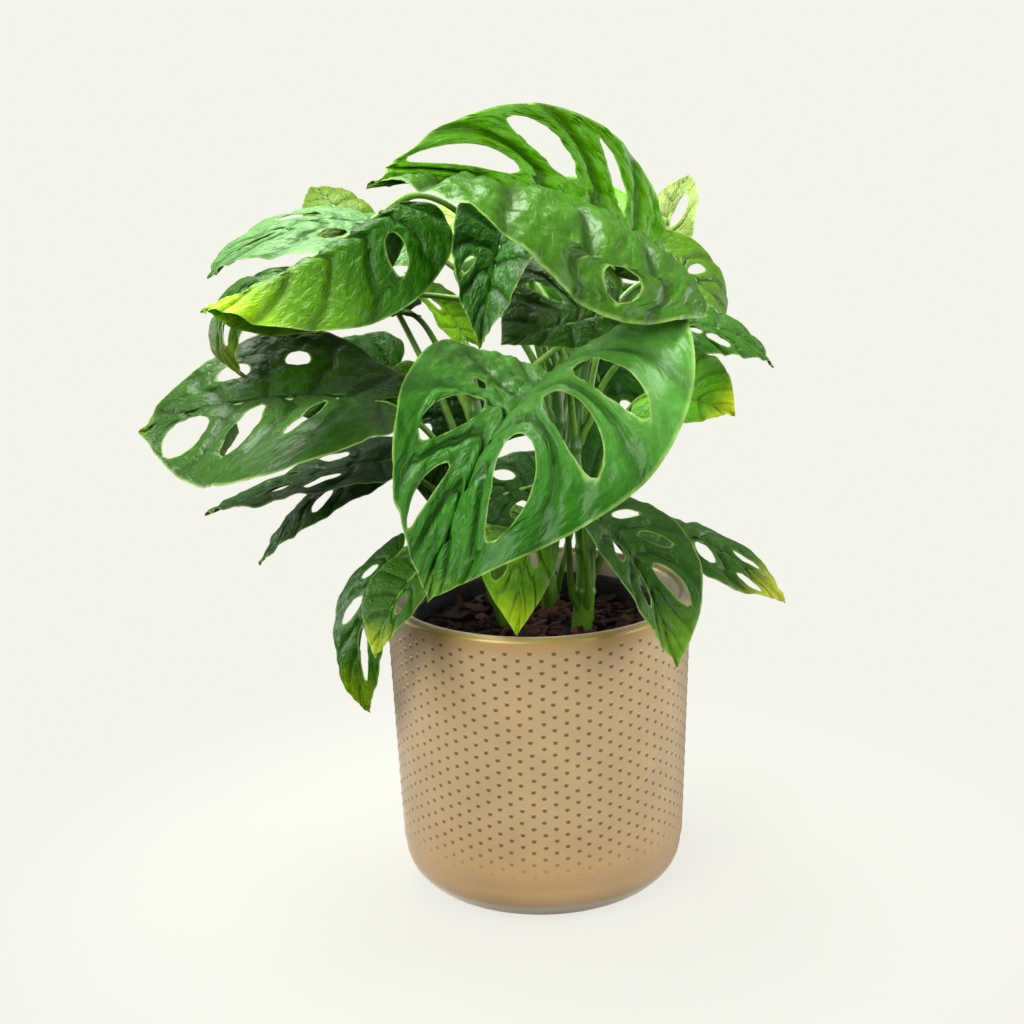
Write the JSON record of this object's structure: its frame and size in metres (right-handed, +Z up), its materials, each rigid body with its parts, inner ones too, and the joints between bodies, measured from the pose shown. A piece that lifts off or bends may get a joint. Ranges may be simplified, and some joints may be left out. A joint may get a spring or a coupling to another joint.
{
  "type": "potted monstera plant",
  "caption": "Bushy monstera with holed leaves in a nursery pot, standing in a bumpy lustre-glazed ceramic pot.",
  "frame": {"origin": "centre of the pot's flat foot, on the surface it stands on", "axes": "+Z up out of the pot, -Y towards the plant's front"},
  "size_m": [0.2932, 0.2687, 0.3608],
  "materials": {
    "lustre_glaze": "satin gold-beige lustre glaze over raised dots",
    "black_plastic": "matt moulded black",
    "potting_mix": "loose peat with reddish bark chips",
    "stem": "smooth fresh green",
    "leaf": "waxy green with sunken veins"
  },
  "bodies": {
    "root": {"cachepot": "lustre_glaze", "nursery_pot": "black_plastic", "potting_mix": "potting_mix", "stem_a": "stem", "stem_b": "stem", "stem_c": "stem", "leaf_crown": "leaf", "leaf_front": "leaf", "leaf_arch": "leaf", "leaf_silver": "leaf", "leaf_curl": "leaf", "leaf_peek": "leaf", "leaf_veil": "leaf", "leaf_teal": "leaf", "leaf_wing": "leaf", "leaf_back_left": "leaf", "leaf_under_left": "leaf", "leaf_fang": "leaf", "leaf_pendant": "leaf", "leaf_tongue": "leaf", "leaf_lemon": "leaf", "leaf_apron": "leaf", "leaf_reach": "leaf", "leaf_shade": "leaf", "leaf_fan": "leaf", "leaf_ghost": "leaf", "leaf_cape": "leaf", "leaf_hook": "leaf", "leaf_frill": "leaf", "leaf_rear": "leaf", "leaf_lime": "leaf", "leaf_inner": "leaf", "leaf_back_right": "leaf", "leaf_back_low": "leaf", "leaf_back_high": "leaf", "leaf_back_rim": "leaf", "leaf_deep_left": "leaf", "leaf_deep_right": "leaf"}
  },
  "joints": []
}
